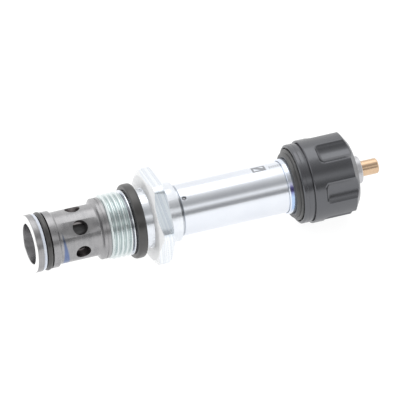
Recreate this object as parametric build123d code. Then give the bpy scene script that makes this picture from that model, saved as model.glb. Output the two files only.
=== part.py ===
"""Solenoid screw-in cartridge valve, built in millimetres.

The valve axis is X. The nose and its port face -X, the coil nut and the
override pin face +X, and +Z is up. The origin is on the axis, in the plane of
the hexagon's seating face, which lands on the manifold. Every distance named
X_... is measured along the axis from that face, and every R_... is a radius.
Angles round the axis start at -Y and rise towards +Z.
"""

import os
from math import radians, tan

from build123d import *

# Driving dimensions -------------------------------------------------------

# Screw-in end: M27x2 cavity, 36 mm across the flats
X_NOSE = -50.1
R_NOSE = 11.95
R_PORT = 8.35
X_PORT_END = -44.0
X_WEB_END = -42.0
R_WEB_HOLE = 4.0
X_NOSE_GROOVE = (-47.3, -43.0)
R_NOSE_GROOVE = 9.55
R_NOSE_REAR_LAND = 11.7
X_NOSE_LAND_END = -40.2
R_NOSE_SEAL = 1.3
BACKUP_WIDTH = 1.3
X_CAGE_START = -39.3
R_CAGE = 10.75
X_CAGE_END = -22.5
X_UPPER_LAND = -21.5
R_UPPER_LAND = 12.65
X_LAND_GROOVE = (-20.3, -20.0)
LAND_GROOVE_DEPTH = 0.25
X_BODY = -18.6
R_THREAD = 13.5
THREAD_DEPTH = 1.2
X_THREAD_END = -9.9
X_RELIEF_END = -9.0
X_SEAL_NECK = -8.4
R_NECK = 12.25
X_BODY_RING = (-7.9, -3.8)
R_BODY_RING = 15.5
BODY_RING_CORNER = 1.1

# Hexagon and collar
HEX_FLATS = 36.0
HEX_LENGTH = 6.2
R_HEX_CORNER = 20.0
R_HEX_FACE = 17.6
R_HEX_REAR = 19.0
HEX_CHAMFER = 30.0
X_COLLAR_END = 12.2
R_COLLAR = 12.3

# Cage ports
PORT_COUNT = 6
PORT_FIRST_ANGLE = 41.0
R_SIDE_PORT = 3.15
X_SIDE_PORT = -30.2

# Spool, its bore and its travel
R_BORE = 7.0
R_SPOOL = 6.96
R_SPOOL_STEM = 3.2
X_SPOOL = (-37.0, -9.0)
X_SPOOL_STEM = -4.0
X_SPOOL_SHOULDER = -31.0
R_SPRING_POCKET = 5.4
X_SPOOL_CAVITY = -21.0
R_SPOOL_CAVITY = 3.0
X_WAIST = (-26.0, -20.0)
WAIST_DEPTH = 1.8
WAIST_SLOPE = 0.6
X_WAIST_HOLES = -23.0
R_WAIST_HOLE = 1.3
X_BALANCE_GROOVES = (-17.0, -14.5, -12.0)
BALANCE_GROOVE = 0.5
R_VENT = 0.9
SHIM_THICKNESS = 0.8
R_SPOOL_SPRING = 4.5
R_SPOOL_WIRE = 0.6
X_CAGE_NECK_END = -8.0
R_CAGE_NECK = 9.5
R_BODY_BORE = 7.5
STROKE = 3.0

# Solenoid tube
R_TUBE = 10.7
R_TUBE_BORE = 9.2
R_TUBE_ROOT = 10.2
X_TUBE = 7.0
X_TUBE_SHOULDER = 13.4
X_TUBE_END = 62.0
X_CORE = 2.0
R_CORE_SPIGOT = 8.5
X_CORE_GROOVE = (3.5, 5.5)
CORE_GROOVE_DEPTH = 1.3
X_ROD_BUSH = 27.0
R_ROD_HOLE = 2.7
X_CORE_FACE = 34.0
R_ROD = 2.0
R_ROD_BUSH = 3.5
X_ROD_END = 47.0
X_ARMATURE = (37.5, 57.4)
R_ARMATURE = 9.15
OIL_PASSAGE_OFFSET = 6.0
R_OIL_PASSAGE = 1.2
X_REAR_WASHER = 57.5
X_PLUG = 58.0
X_BALL = 15.1
BALL_ANGLE = 53.0
R_BALL = 0.6
R_BALL_HOLE = 0.9
BALL_HOLE_DEPTH = 1.2

# Tube plug, override and nut thread
R_PLUG_SHOULDER = 9.9
X_PLUG_SHOULDER_END = 65.0
X_PLUG_GROOVE = (59.0, 60.8)
PLUG_GROOVE_DEPTH = 1.1
R_NUT_THREAD = 9.0
X_NUT_THREAD = (66.5, 84.5)
X_PLUG_END = 88.6
R_PLUG_BOSS = 7.4
X_BOSS_GROOVE = (85.6, 87.4)
BOSS_GROOVE_DEPTH = 0.5
R_NUT_REAR_SEAL = 0.85
X_CHAMBER = 68.0
R_CHAMBER = 4.4
X_BUSHING = 79.0
R_BUSHING_THREAD = 5.0
X_PIN_GROOVE = (84.0, 85.6)
PIN_GROOVE_DEPTH = 1.15
R_PIN_SEAL = 0.55
R_PIN = 3.2
R_PIN_STEM = 1.9
R_PIN_FLANGE = 4.2
X_PIN_FLANGE = (77.5, 78.95)
X_PIN_END = 100.0
R_OVERRIDE_SPRING = 3.2
R_OVERRIDE_WIRE = 0.35
X_DISC = (89.7, 92.3)
R_DISC = 5.7

# Coil nut
X_INSERT = 58.7
R_INSERT_SLEEVE = 11.5
R_INSERT_BODY = 12.8
X_INSERT_END = 80.0
X_SNAP_GROOVE = (65.0, 66.2)
SNAP_GROOVE_DEPTH = 0.4
X_SEAL_LIP = 60.4
R_SEAL_LIP = 12.9
SEAL_DISH = 0.9
R_SEAL = 13.5
X_SEAL_STEP = 62.4
R_SEAL_FLANGE = 14.9
X_SEAL_END = 64.4
X_RING = (63.3, 67.4)
R_RING = 16.45
R_RING_RECESS = 15.4
X_SHELL = 67.5
X_SHELL_STEP = 67.9
R_SHELL_STEP = 16.0
R_SHELL = 17.25
X_CHAMFER = 85.6
X_SHELL_END = 88.1
R_SHELL_END = 13.5
X_FLUTE = 72.6
LOBES = 6
LOBE_ANGLE = 34.9
FLUTE_DEPTH = 2.2
R_FLUTE = 7.5
FLUTE_END_RADIUS = 2.0

# Clearances
RUNNING = 0.05
NUT_CLEARANCE = 0.1


# Helpers ------------------------------------------------------------------


def turned(*outline):
    """A solid turned about X from (x, radius) points."""
    return revolve(make_face(Polyline(*outline, close=True)), Axis.X)


def ring(start, end, inner, outer, edge=0.0):
    """A plain ring, with its four edges broken by a small chamfer if asked."""
    if not edge:
        return turned((start, inner), (start, outer), (end, outer), (end, inner))
    return turned(
        (start, inner + edge),
        (start, outer - edge),
        (start + edge, outer),
        (end - edge, outer),
        (end, outer - edge),
        (end, inner + edge),
        (end - edge, inner),
        (start + edge, inner),
    )


def o_ring(x, floor, section):
    """An O-ring lying on a groove floor, where section is its section's radius."""
    return Pos(x, 0, 0) * Rot(0, 90, 0) * Torus(floor + section, section)


def along_axis(radius, start, end):
    """A cylinder on the valve axis."""
    middle = (start + end) / 2
    return Pos(middle, 0, 0) * Rot(0, 90, 0) * Cylinder(radius, end - start)


def radial_hole(radius, x, angle, inner, outer):
    """A cylinder across the axis, from one radius out to another."""
    middle = (inner + outer) / 2
    hole = Pos(x, -middle, 0) * Rot(90, 0, 0) * Cylinder(radius, outer - inner)
    return Rot(-angle, 0, 0) * hole


def coil_spring(start, end, coil_radius, wire_radius, pitch):
    """A round-wire spring whose coils lie between two x values."""
    length = end - start - 2.4 * wire_radius
    path = Helix(pitch, length, coil_radius, (start + 1.2 * wire_radius, 0, 0), (1, 0, 0))
    section = Plane(origin=path @ 0, z_dir=path % 0) * Circle(wire_radius)
    return sweep(section, path=path)


# Screw-in end -------------------------------------------------------------


def cage():
    """Nose, side ports and spool bore, with the neck that screws into the body."""
    groove_start, groove_end = X_NOSE_GROOVE
    edge = 0.4
    body = turned(
        (X_NOSE, R_PORT + edge),
        (X_NOSE, R_NOSE - edge),
        (X_NOSE + edge, R_NOSE),
        (groove_start, R_NOSE),
        (groove_start, R_NOSE_GROOVE),
        (groove_end, R_NOSE_GROOVE),
        (groove_end, R_NOSE_REAR_LAND),
        (X_NOSE_LAND_END, R_NOSE_REAR_LAND),
        (X_CAGE_START, R_CAGE),
        (X_CAGE_END, R_CAGE),
        (X_CAGE_END + 0.35, R_CAGE + 0.5),
        (X_UPPER_LAND - 0.2, R_UPPER_LAND - 0.45),
        (X_UPPER_LAND, R_UPPER_LAND),
        (X_BODY, R_UPPER_LAND),
        (X_BODY, R_CAGE_NECK),
        (X_CAGE_NECK_END, R_CAGE_NECK),
        (X_CAGE_NECK_END, R_BORE),
        (X_WEB_END, R_BORE),
        (X_WEB_END, R_WEB_HOLE),
        (X_PORT_END, R_WEB_HOLE),
        (X_PORT_END, R_PORT),
        (X_NOSE + edge, R_PORT),
    )
    for index in range(PORT_COUNT):
        angle = PORT_FIRST_ANGLE + index * 360 / PORT_COUNT
        body -= radial_hole(R_SIDE_PORT, X_SIDE_PORT, angle, R_BORE - 1, R_CAGE + 1)
    return body - ring(*X_LAND_GROOVE, R_UPPER_LAND - LAND_GROOVE_DEPTH, R_UPPER_LAND + 1)


def nose_backup_ring():
    """Flat anti-extrusion ring on the nose side of the nose O-ring."""
    start = X_NOSE_GROOVE[0] + RUNNING
    return ring(start, start + BACKUP_WIDTH, R_NOSE_GROOVE, R_NOSE_REAR_LAND, 0.12)


def nose_o_ring():
    """Nose seal, standing slightly proud of the lands."""
    middle = (X_NOSE_GROOVE[0] + BACKUP_WIDTH + X_NOSE_GROOVE[1]) / 2
    return o_ring(middle, R_NOSE_GROOVE, R_NOSE_SEAL)


def valve_body():
    """Threaded body with its seal neck, hexagon and collar."""
    edge = 0.3
    body = turned(
        (X_BODY, R_CAGE_NECK),
        (X_BODY, R_THREAD - THREAD_DEPTH),
        (X_BODY + 1.0, R_THREAD),
        (X_THREAD_END, R_THREAD),
        (X_THREAD_END, R_NECK),
        (X_RELIEF_END, R_NECK),
        (X_RELIEF_END, R_THREAD),
        (X_SEAL_NECK, R_THREAD),
        (X_SEAL_NECK, R_NECK),
        (HEX_LENGTH / 2, R_NECK),
        (HEX_LENGTH / 2, R_COLLAR),
        (X_COLLAR_END - edge, R_COLLAR),
        (X_COLLAR_END, R_COLLAR - edge),
        (X_COLLAR_END, R_TUBE_ROOT),
        (X_TUBE, R_TUBE_ROOT),
        (X_TUBE, R_CORE_SPIGOT),
        (X_CORE, R_CORE_SPIGOT),
        (X_CORE, R_BODY_BORE),
        (X_CAGE_NECK_END, R_BODY_BORE),
        (X_CAGE_NECK_END, R_CAGE_NECK),
    )
    return body + hexagon()


def hexagon():
    """The hexagon, chamfered at both ends, with two of its flats facing up and down."""
    prism = extrude(Plane.YZ * RegularPolygon(HEX_FLATS / 2, 6, major_radius=False), HEX_LENGTH)
    slope = tan(radians(HEX_CHAMFER))
    front = (R_HEX_CORNER - R_HEX_FACE) * slope
    rear = (R_HEX_CORNER - R_HEX_REAR) * slope
    envelope = turned(
        (0, R_CORE_SPIGOT + 2),
        (0, R_HEX_FACE),
        (front, R_HEX_CORNER),
        (HEX_LENGTH - rear, R_HEX_CORNER),
        (HEX_LENGTH, R_HEX_REAR),
        (HEX_LENGTH, R_CORE_SPIGOT + 2),
    )
    return prism & envelope


def body_o_ring():
    """Large seal under the seating face, pressed nearly square by its housing."""
    start, end = X_BODY_RING
    section = RectangleRounded(end - start, R_BODY_RING - R_NECK, BODY_RING_CORNER)
    middle = Pos((start + end) / 2, (R_NECK + R_BODY_RING) / 2)
    return revolve(middle * section, Axis.X)


# Spool and its spring -----------------------------------------------------


def spool():
    """Hollow spool: the nose land covers the side ports at rest."""
    start, end = X_SPOOL
    waist_start, waist_end = X_WAIST
    edge = 0.25
    body = turned(
        (start, R_SPRING_POCKET),
        (start, R_SPOOL - edge),
        (start + edge, R_SPOOL),
        (waist_start, R_SPOOL),
        (waist_start + WAIST_SLOPE, R_SPOOL - WAIST_DEPTH),
        (waist_end - WAIST_SLOPE, R_SPOOL - WAIST_DEPTH),
        (waist_end, R_SPOOL),
        (end - edge, R_SPOOL),
        (end, R_SPOOL - edge),
        (end, R_SPOOL_STEM),
        (X_SPOOL_STEM, R_SPOOL_STEM),
        (X_SPOOL_STEM, 0),
        (X_SPOOL_CAVITY, 0),
        (X_SPOOL_CAVITY, R_SPOOL_CAVITY),
        (X_SPOOL_SHOULDER, R_SPOOL_CAVITY),
        (X_SPOOL_SHOULDER, R_SPRING_POCKET),
    )
    for x in X_BALANCE_GROOVES:
        body -= ring(x, x + BALANCE_GROOVE, R_SPOOL - BALANCE_GROOVE, R_SPOOL + 1)
    for angle in (0, 90, 180, 270):
        body -= radial_hole(R_WAIST_HOLE, X_WAIST_HOLES, angle, 1.0, R_SPOOL)
    body -= along_axis(R_VENT, X_SPOOL_CAVITY - 1.0, X_SPOOL_STEM - 2.0)
    return body - radial_hole(R_VENT, X_SPOOL_STEM - 2.5, 0, -R_SPOOL, R_SPOOL)


def spring_shim():
    """Washer that sets the spool spring's load."""
    return ring(X_WEB_END, X_WEB_END + SHIM_THICKNESS, R_WEB_HOLE, R_BORE - 0.1, 0.1)


def spool_spring():
    """Return spring, seated in the spool's pocket."""
    start = X_WEB_END + SHIM_THICKNESS
    return coil_spring(start, X_SPOOL_SHOULDER, R_SPOOL_SPRING, R_SPOOL_WIRE, 2.0)


# Solenoid tube ------------------------------------------------------------


def pole_core():
    """Fixed magnetic core, with a seal groove in its spigot and a bush in its face."""
    groove_start, groove_end = X_CORE_GROOVE
    return turned(
        (X_CORE, R_ROD_HOLE),
        (X_CORE, R_CORE_SPIGOT),
        (groove_start, R_CORE_SPIGOT),
        (groove_start, R_CORE_SPIGOT - CORE_GROOVE_DEPTH),
        (groove_end, R_CORE_SPIGOT - CORE_GROOVE_DEPTH),
        (groove_end, R_CORE_SPIGOT),
        (X_TUBE, R_CORE_SPIGOT),
        (X_TUBE, R_TUBE_BORE),
        (X_CORE_FACE, R_TUBE_BORE),
        (X_CORE_FACE, R_ROD_BUSH),
        (X_ROD_BUSH, R_ROD_BUSH),
        (X_ROD_BUSH, R_ROD_HOLE),
    )


def core_o_ring():
    """Seal between the core's spigot and the body."""
    floor = R_CORE_SPIGOT - CORE_GROOVE_DEPTH
    return o_ring(sum(X_CORE_GROOVE) / 2, floor, CORE_GROOVE_DEPTH / 2)


def rod_bush():
    """Bronze bush that guides the push rod."""
    return ring(X_ROD_BUSH, X_CORE_FACE - 0.5, R_ROD + RUNNING, R_ROD_BUSH)


def push_rod():
    """Rod pressed into the armature, bearing on the spool's stem."""
    edge = 0.3
    return turned(
        (X_SPOOL_STEM, 0),
        (X_SPOOL_STEM, R_ROD - edge),
        (X_SPOOL_STEM + edge, R_ROD),
        (X_ROD_END - edge, R_ROD),
        (X_ROD_END, R_ROD - edge),
        (X_ROD_END, 0),
    )


def anti_stick_washer():
    """Thin brass washer that keeps the armature off the core's face."""
    return ring(X_CORE_FACE, X_CORE_FACE + 0.3, R_ROD_BUSH, R_ARMATURE - 0.4)


def armature():
    """Moving core, with two drilled oil passages."""
    start, end = X_ARMATURE
    edge = 0.4
    body = turned(
        (start, 0),
        (start, R_ARMATURE - edge),
        (start + edge, R_ARMATURE),
        (end - edge, R_ARMATURE),
        (end, R_ARMATURE - edge),
        (end, 0),
    )
    body -= along_axis(R_ROD, start, X_ROD_END)
    for side in (-1, 1):
        body -= Pos(0, 0, side * OIL_PASSAGE_OFFSET) * along_axis(R_OIL_PASSAGE, start, end)
    return body


def rear_washer():
    """Brass washer behind the armature, against the plug."""
    return ring(X_REAR_WASHER, X_PLUG, R_PIN_STEM + 0.4, R_ARMATURE - 0.4)


def armature_tube():
    """Pressure tube that the coil slides over."""
    edge = 0.3
    body = turned(
        (X_TUBE, R_TUBE_BORE),
        (X_TUBE, R_TUBE_ROOT),
        (X_TUBE_SHOULDER, R_TUBE_ROOT),
        (X_TUBE_SHOULDER, R_TUBE - edge),
        (X_TUBE_SHOULDER + edge, R_TUBE),
        (X_TUBE_END - edge, R_TUBE),
        (X_TUBE_END, R_TUBE - edge),
        (X_TUBE_END, R_TUBE_BORE),
    )
    floor = R_TUBE - BALL_HOLE_DEPTH
    return body - radial_hole(R_BALL_HOLE, X_BALL, BALL_ANGLE, floor, R_TUBE + 1)


def stake_ball():
    """Small ball staked into the root of the tube."""
    centre = R_TUBE - BALL_HOLE_DEPTH + R_BALL
    return Rot(-BALL_ANGLE, 0, 0) * (Pos(X_BALL, -centre, 0) * Sphere(R_BALL))


# Tube plug and manual override --------------------------------------------


def tube_plug():
    """Plug that closes the tube, carries the nut's thread and holds the override."""
    groove_start, groove_end = X_PLUG_GROOVE
    thread_start, thread_end = X_NUT_THREAD
    boss_groove_start, boss_groove_end = X_BOSS_GROOVE
    edge = 0.5
    return turned(
        (X_PLUG, R_PIN_STEM + NUT_CLEARANCE),
        (X_PLUG, R_TUBE_BORE),
        (groove_start, R_TUBE_BORE),
        (groove_start, R_TUBE_BORE - PLUG_GROOVE_DEPTH),
        (groove_end, R_TUBE_BORE - PLUG_GROOVE_DEPTH),
        (groove_end, R_TUBE_BORE),
        (X_TUBE_END, R_TUBE_BORE),
        (X_TUBE_END, R_PLUG_SHOULDER),
        (X_PLUG_SHOULDER_END, R_PLUG_SHOULDER),
        (X_PLUG_SHOULDER_END, R_NUT_THREAD - edge),
        (thread_start, R_NUT_THREAD - edge),
        (thread_start + edge, R_NUT_THREAD),
        (thread_end - edge, R_NUT_THREAD),
        (thread_end, R_NUT_THREAD - edge),
        (thread_end, R_PLUG_BOSS),
        (boss_groove_start, R_PLUG_BOSS),
        (boss_groove_start, R_PLUG_BOSS - BOSS_GROOVE_DEPTH),
        (boss_groove_end, R_PLUG_BOSS - BOSS_GROOVE_DEPTH),
        (boss_groove_end, R_PLUG_BOSS),
        (X_PLUG_END, R_PLUG_BOSS),
        (X_PLUG_END, R_BUSHING_THREAD),
        (X_BUSHING, R_BUSHING_THREAD),
        (X_BUSHING, R_CHAMBER),
        (X_CHAMBER, R_CHAMBER),
        (X_CHAMBER, R_PIN_STEM + NUT_CLEARANCE),
    )


def plug_o_ring():
    """Seal between the plug and the tube."""
    floor = R_TUBE_BORE - PLUG_GROOVE_DEPTH
    return o_ring(sum(X_PLUG_GROOVE) / 2, floor, PLUG_GROOVE_DEPTH / 2)


def nut_rear_seal():
    """O-ring on the plug's boss that keeps water out of the nut."""
    return o_ring(sum(X_BOSS_GROOVE) / 2, R_PLUG_BOSS - BOSS_GROOVE_DEPTH, R_NUT_REAR_SEAL)


def override_bushing():
    """Screwed-in bushing with a thin disc, which keeps the override pin in."""
    disc_start, disc_end = X_DISC
    groove_start, groove_end = X_PIN_GROOVE
    edge = 0.4
    bore = R_PIN + RUNNING
    return turned(
        (X_BUSHING, bore),
        (X_BUSHING, R_BUSHING_THREAD),
        (X_PLUG_END, R_BUSHING_THREAD),
        (disc_start, R_BUSHING_THREAD - 0.1),
        (disc_start, R_DISC - edge),
        (disc_start + edge, R_DISC),
        (disc_end - edge, R_DISC),
        (disc_end, R_DISC - edge),
        (disc_end, bore),
        (groove_end, bore),
        (groove_end, bore + PIN_GROOVE_DEPTH),
        (groove_start, bore + PIN_GROOVE_DEPTH),
        (groove_start, bore),
    )


def override_o_ring():
    """Seal round the override pin."""
    return o_ring(sum(X_PIN_GROOVE) / 2, R_PIN + RUNNING, R_PIN_SEAL)


def override_pin():
    """Brass pin with a stop flange and the thin stem that pushes the armature."""
    flange_start, flange_end = X_PIN_FLANGE
    edge = 0.5
    return turned(
        (X_REAR_WASHER, 0),
        (X_REAR_WASHER, R_PIN_STEM),
        (flange_start, R_PIN_STEM),
        (flange_start, R_PIN_FLANGE),
        (flange_end, R_PIN_FLANGE),
        (flange_end, R_PIN),
        (X_PIN_END - edge, R_PIN),
        (X_PIN_END, R_PIN - edge),
        (X_PIN_END, 0),
    )


def override_spring():
    """Spring that pushes the override pin back out."""
    start, end = X_CHAMBER + RUNNING, X_PIN_FLANGE[0] - RUNNING
    return coil_spring(start, end, R_OVERRIDE_SPRING, R_OVERRIDE_WIRE, 1.5)


# Coil nut -----------------------------------------------------------------


def nut_insert():
    """Steel insert: a thin sleeve over the tube's end and the thread behind it."""
    snap_start, snap_end = X_SNAP_GROOVE
    edge = 0.25
    return turned(
        (X_INSERT, R_TUBE + 0.15),
        (X_INSERT, R_INSERT_SLEEVE - edge),
        (X_INSERT + edge, R_INSERT_SLEEVE),
        (snap_start, R_INSERT_SLEEVE),
        (snap_start, R_INSERT_SLEEVE - SNAP_GROOVE_DEPTH),
        (snap_end, R_INSERT_SLEEVE - SNAP_GROOVE_DEPTH),
        (snap_end, R_INSERT_SLEEVE),
        (X_SHELL, R_INSERT_SLEEVE),
        (X_SHELL, R_INSERT_BODY),
        (X_INSERT_END, R_INSERT_BODY),
        (X_INSERT_END, R_NUT_THREAD + RUNNING),
        (X_SHELL, R_NUT_THREAD + RUNNING),
        (X_SHELL - 0.6, R_PLUG_SHOULDER + 0.2),
        (X_TUBE_END + NUT_CLEARANCE, R_PLUG_SHOULDER + 0.2),
        (X_TUBE_END + NUT_CLEARANCE, R_TUBE + 0.15),
    )


def nut_front_seal():
    """Stepped rubber ring whose dished lip seals against the coil."""
    inner = R_INSERT_SLEEVE + 2 * NUT_CLEARANCE
    return turned(
        (X_SEAL_LIP + SEAL_DISH, inner),
        (X_SEAL_LIP, R_SEAL_LIP),
        (X_SEAL_LIP + 0.4, R_SEAL),
        (X_SEAL_STEP, R_SEAL),
        (X_SEAL_STEP, R_SEAL_FLANGE - 0.3),
        (X_SEAL_STEP + 0.4, R_SEAL_FLANGE),
        (X_SEAL_END, R_SEAL_FLANGE),
        (X_SEAL_END, inner),
    )


def nut_front_ring():
    """Thrust ring that stays still on the coil while the nut turns behind it."""
    start, end = X_RING
    snap_start, snap_end = X_SNAP_GROOVE
    snap_lip = R_INSERT_SLEEVE - SNAP_GROOVE_DEPTH + NUT_CLEARANCE
    inner = R_INSERT_SLEEVE + NUT_CLEARANCE
    edge = 0.5
    return turned(
        (X_SEAL_END, inner),
        (X_SEAL_END, R_RING_RECESS),
        (start, R_RING_RECESS),
        (start, R_RING - edge),
        (start + edge, R_RING),
        (end, R_RING),
        (end, inner),
        (snap_end - NUT_CLEARANCE, inner),
        (snap_end - NUT_CLEARANCE, snap_lip),
        (snap_start + NUT_CLEARANCE, snap_lip),
        (snap_start + NUT_CLEARANCE, inner),
    )


def coil_nut():
    """Plastic grip moulded over the insert, with scooped flutes open to the rear."""
    edge = 0.3
    seal_room = R_PLUG_BOSS + 1.25
    thread_room = R_NUT_THREAD + 0.5
    x_room = X_NUT_THREAD[1] + edge
    shell = turned(
        (X_SHELL, R_INSERT_BODY),
        (X_SHELL, R_SHELL_STEP),
        (X_SHELL_STEP, R_SHELL_STEP),
        (X_SHELL_STEP, R_SHELL - edge),
        (X_SHELL_STEP + edge, R_SHELL),
        (X_CHAMFER, R_SHELL),
        (X_SHELL_END, R_SHELL_END),
        (X_SHELL_END, seal_room),
        (x_room, seal_room),
        (x_room, thread_room),
        (X_INSERT_END, thread_room),
        (X_INSERT_END, R_INSERT_BODY),
    )
    scoop = flute_cutter()
    for index in range(LOBES):
        angle = LOBE_ANGLE + (index + 0.5) * 360 / LOBES
        shell -= Rot(-angle, 0, 0) * scoop
    return shell


def flute_cutter():
    """Round-nosed cutter lying beside the nut at -Y."""
    length = X_SHELL_END - X_FLUTE + 4.0
    bar = Cylinder(R_FLUTE, length)
    bar = fillet(bar.edges().sort_by(Axis.Z)[0], FLUTE_END_RADIUS)
    offset = R_SHELL - FLUTE_DEPTH + R_FLUTE
    return Pos(X_FLUTE + length / 2, -offset, 0) * Rot(0, 90, 0) * bar


# Output -------------------------------------------------------------------

PARTS = {
    "cage": cage,
    "nose_backup_ring": nose_backup_ring,
    "nose_o_ring": nose_o_ring,
    "valve_body": valve_body,
    "body_o_ring": body_o_ring,
    "spool": spool,
    "spring_shim": spring_shim,
    "spool_spring": spool_spring,
    "pole_core": pole_core,
    "core_o_ring": core_o_ring,
    "rod_bush": rod_bush,
    "push_rod": push_rod,
    "anti_stick_washer": anti_stick_washer,
    "armature": armature,
    "rear_washer": rear_washer,
    "armature_tube": armature_tube,
    "stake_ball": stake_ball,
    "tube_plug": tube_plug,
    "plug_o_ring": plug_o_ring,
    "nut_rear_seal": nut_rear_seal,
    "override_bushing": override_bushing,
    "override_o_ring": override_o_ring,
    "override_pin": override_pin,
    "override_spring": override_spring,
    "nut_insert": nut_insert,
    "nut_front_seal": nut_front_seal,
    "nut_front_ring": nut_front_ring,
    "coil_nut": coil_nut,
}

os.makedirs("parts", exist_ok=True)
for name, make in PARTS.items():
    export_step(make(), f"parts/{name}.step")
    print(name)
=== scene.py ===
# %% [markdown]
# # A solenoid cartridge valve
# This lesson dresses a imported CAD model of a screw-in hydraulic valve. The CAD parts are loaded in metres,
# with the valve's axis along X, its nose at -X and its hexagon's seating face at x = 0, and they stay where
# they are. Each part that shows gets a finer piece modelled here or a better finish.

# %% Load the frame
import math

import bmesh
import bpy
from mathutils import Matrix, Vector


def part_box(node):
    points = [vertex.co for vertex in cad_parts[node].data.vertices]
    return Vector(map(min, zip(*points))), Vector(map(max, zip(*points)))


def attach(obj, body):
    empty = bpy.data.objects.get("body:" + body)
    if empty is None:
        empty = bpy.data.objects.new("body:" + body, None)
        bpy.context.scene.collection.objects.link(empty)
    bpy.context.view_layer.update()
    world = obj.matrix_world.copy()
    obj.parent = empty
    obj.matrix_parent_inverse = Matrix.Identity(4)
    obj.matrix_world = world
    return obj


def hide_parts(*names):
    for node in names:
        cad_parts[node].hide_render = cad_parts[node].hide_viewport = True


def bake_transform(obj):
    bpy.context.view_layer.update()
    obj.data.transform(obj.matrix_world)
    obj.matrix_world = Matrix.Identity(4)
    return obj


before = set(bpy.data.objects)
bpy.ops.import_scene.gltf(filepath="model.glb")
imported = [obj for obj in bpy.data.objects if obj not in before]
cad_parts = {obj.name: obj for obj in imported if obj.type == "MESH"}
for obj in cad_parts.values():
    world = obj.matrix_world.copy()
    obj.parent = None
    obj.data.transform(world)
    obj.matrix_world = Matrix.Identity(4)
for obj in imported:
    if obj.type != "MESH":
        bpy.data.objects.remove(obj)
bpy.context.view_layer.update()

# %% [markdown]
# ## Reading sizes from the frame
# Drawings of turned parts give a place along the axis and a radius, so that is how this lesson reads the
# frame. The two helpers below turn a CAD node's box into millimetres along the axis and a radius.

# %% Sizes in millimetres
MM = 0.001


def span(node):
    """Where a CAD node starts and ends along the axis, in mm."""
    low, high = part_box(node)
    return low.x / MM, high.x / MM


def radius(node):
    """A turned CAD node's outer radius, in mm."""
    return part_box(node)[1].y / MM


for node in ("cage", "valve_body", "armature_tube", "coil_nut", "override_pin"):
    print(node, [round(x, 2) for x in span(node)], "radius", round(radius(node), 2))

# %% [markdown]
# ## Writing shader maths
# A finish is a sum of small ideas: fine tool lines, a smudge, a change of tone. The Value class wraps a
# shader socket so that such sums read as Python. Nodes makes and links the nodes of one tree, and Paint is
# the kind of tree that a material needs.

# %% Shader helper
class Value:
    """A shader socket that can be added, multiplied and compared."""

    def __init__(self, nodes, socket):
        self.nodes = nodes
        self.socket = socket

    def maths(self, operation, *values, clamp=False):
        settings = {"operation": operation, "use_clamp": clamp}
        return self.nodes.node("ShaderNodeMath", settings, dict(enumerate(values)))

    def __add__(self, other):
        return self.maths("ADD", self, other)

    def __sub__(self, other):
        return self.maths("SUBTRACT", self, other)

    def __rsub__(self, other):
        return self.maths("SUBTRACT", other, self)

    def __mul__(self, other):
        return self.maths("MULTIPLY", self, other)

    def __truediv__(self, other):
        return self.maths("DIVIDE", self, other)

    def __mod__(self, other):
        return self.maths("MODULO", self, other)

    def __pow__(self, other):
        return self.maths("POWER", self, other)

    def __lt__(self, other):
        return self.maths("LESS_THAN", self, other)

    def __gt__(self, other):
        return self.maths("GREATER_THAN", self, other)

    def clamped(self):
        return self.maths("ADD", self, 0.0, clamp=True)

    __radd__ = __add__
    __rmul__ = __mul__


class Nodes:
    """One tree of nodes and the shader that it feeds."""

    def __init__(self, owner, shader):
        owner.use_nodes = True
        self.tree = owner.node_tree
        self.shader = self.tree.nodes[shader]

    def node(self, kind, settings=(), inputs=(), output=0):
        """Make a node from its type, its settings and what goes into its sockets."""
        node = self.tree.nodes.new(kind)
        for setting, value in dict(settings).items():
            if setting == "stops":
                self.set_stops(node.color_ramp, value)
            else:
                setattr(node, setting, value)
        for socket, value in dict(inputs).items():
            if isinstance(value, Value):
                self.tree.links.new(value.socket, node.inputs[socket])
            else:
                node.inputs[socket].default_value = value
        return Value(self, node.outputs[output])

    @staticmethod
    def set_stops(ramp, stops):
        """Set a colour ramp's stops from (position, colour) pairs."""
        while len(ramp.elements) < len(stops):
            ramp.elements.new(1.0)
        for element, (position, colour) in zip(ramp.elements, stops):
            element.position = position
            element.color = colour

    def split(self, vector):
        """The three parts of a vector."""
        outputs = self.node("ShaderNodeSeparateXYZ", inputs={0: vector}).socket.node.outputs
        return [Value(self, outputs[axis]) for axis in "XYZ"]

    def ramp(self, value, stops):
        """A colour for each value from 0 to 1."""
        full = [(position, (*colour, 1.0)) for position, colour in stops]
        return self.node("ShaderNodeValToRGB", {"stops": full}, {0: value})

    def feed(self, socket, value):
        """Link a varying value into the shader."""
        self.tree.links.new(value.socket, self.shader.inputs[socket])


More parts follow.
